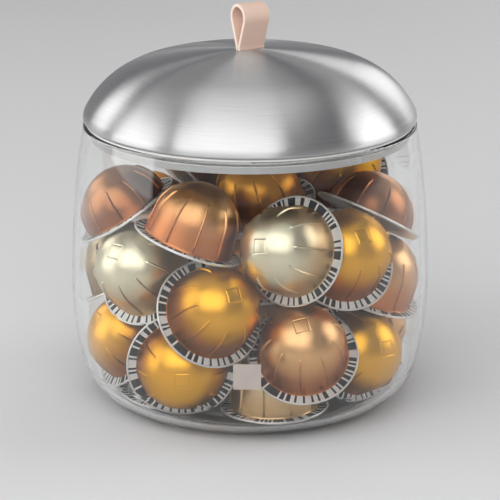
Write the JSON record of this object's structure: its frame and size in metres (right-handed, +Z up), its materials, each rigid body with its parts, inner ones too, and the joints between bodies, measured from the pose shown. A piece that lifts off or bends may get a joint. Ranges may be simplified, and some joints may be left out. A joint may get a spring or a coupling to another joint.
{
  "type": "coffee capsule jar",
  "caption": "Round glass jar with a domed metal lift-off lid, leather pull loop and sealing ring, filled with a loose pile of foil coffee capsules.",
  "frame": {"origin": "centre of the jar's foot, on the plane that it stands on", "axes": "+Z up along the jar's axis, -Y towards the front as pictured, +X to the viewer's right"},
  "size_m": [0.2056, 0.2056, 0.2306],
  "materials": {
    "clear_glass": "clear, fire polished",
    "brushed_dome": "circular brushed",
    "liner_steel": "satin, pressed sheet",
    "silicone": "matt, translucent grey-white",
    "pale_leather": "natural vegetable-tanned leather",
    "clamp_steel": "plain pressed sheet",
    "fastener_steel": "bright zinc",
    "capsule_bronze": "lacquered foil, satin",
    "capsule_copper": "lacquered foil, satin",
    "capsule_amber": "lacquered foil, satin",
    "capsule_champagne": "lacquered foil, satin",
    "capsule_gold": "lacquered foil, satin",
    "capsule_tan": "lacquered foil, satin",
    "capsule_silver": "lacquered foil, satin"
  },
  "bodies": {
    "jar": {"glass_jar": "clear_glass", "capsule_01": "capsule_bronze", "capsule_02": "capsule_copper", "capsule_03": "capsule_amber", "capsule_04": "capsule_champagne", "capsule_05": "capsule_gold", "capsule_06": "capsule_bronze", "capsule_07": "capsule_gold", "capsule_08": "capsule_copper", "capsule_09": "capsule_champagne", "capsule_10": "capsule_tan", "capsule_11": "capsule_gold", "capsule_12": "capsule_copper", "capsule_13": "capsule_gold", "capsule_14": "capsule_gold", "capsule_15": "capsule_champagne", "capsule_16": "capsule_gold", "capsule_17": "capsule_silver", "capsule_18": "capsule_copper", "capsule_19": "capsule_gold", "capsule_20": "capsule_champagne", "capsule_21": "capsule_bronze", "capsule_22": "capsule_amber", "capsule_23": "capsule_copper", "capsule_24": "capsule_gold", "capsule_25": "capsule_champagne", "capsule_26": "capsule_amber", "capsule_27": "capsule_gold", "capsule_28": "capsule_bronze", "capsule_29": "capsule_champagne", "capsule_30": "capsule_copper", "capsule_31": "capsule_amber", "capsule_32": "capsule_bronze"},
    "seal": {"lid_seal": "silicone"},
    "lid": {"lid_dome": "brushed_dome", "lid_liner": "liner_steel", "pull_loop": "pale_leather", "clamp_plate_front": "clamp_steel", "clamp_plate_back": "clamp_steel", "clamp_screws": "fastener_steel", "clamp_nuts": "fastener_steel"}
  },
  "joints": [
    {"name": "lid_lift", "type": "slide", "parent": "jar", "child": "seal", "axis": [0, 0, 1], "range_m": [0, 0.15]},
    {"name": "lid_turn", "type": "hinge", "parent": "seal", "child": "lid", "pos_m": [0, 0, 0.163], "axis": [0, 0, 1], "continuous": true}
  ]
}
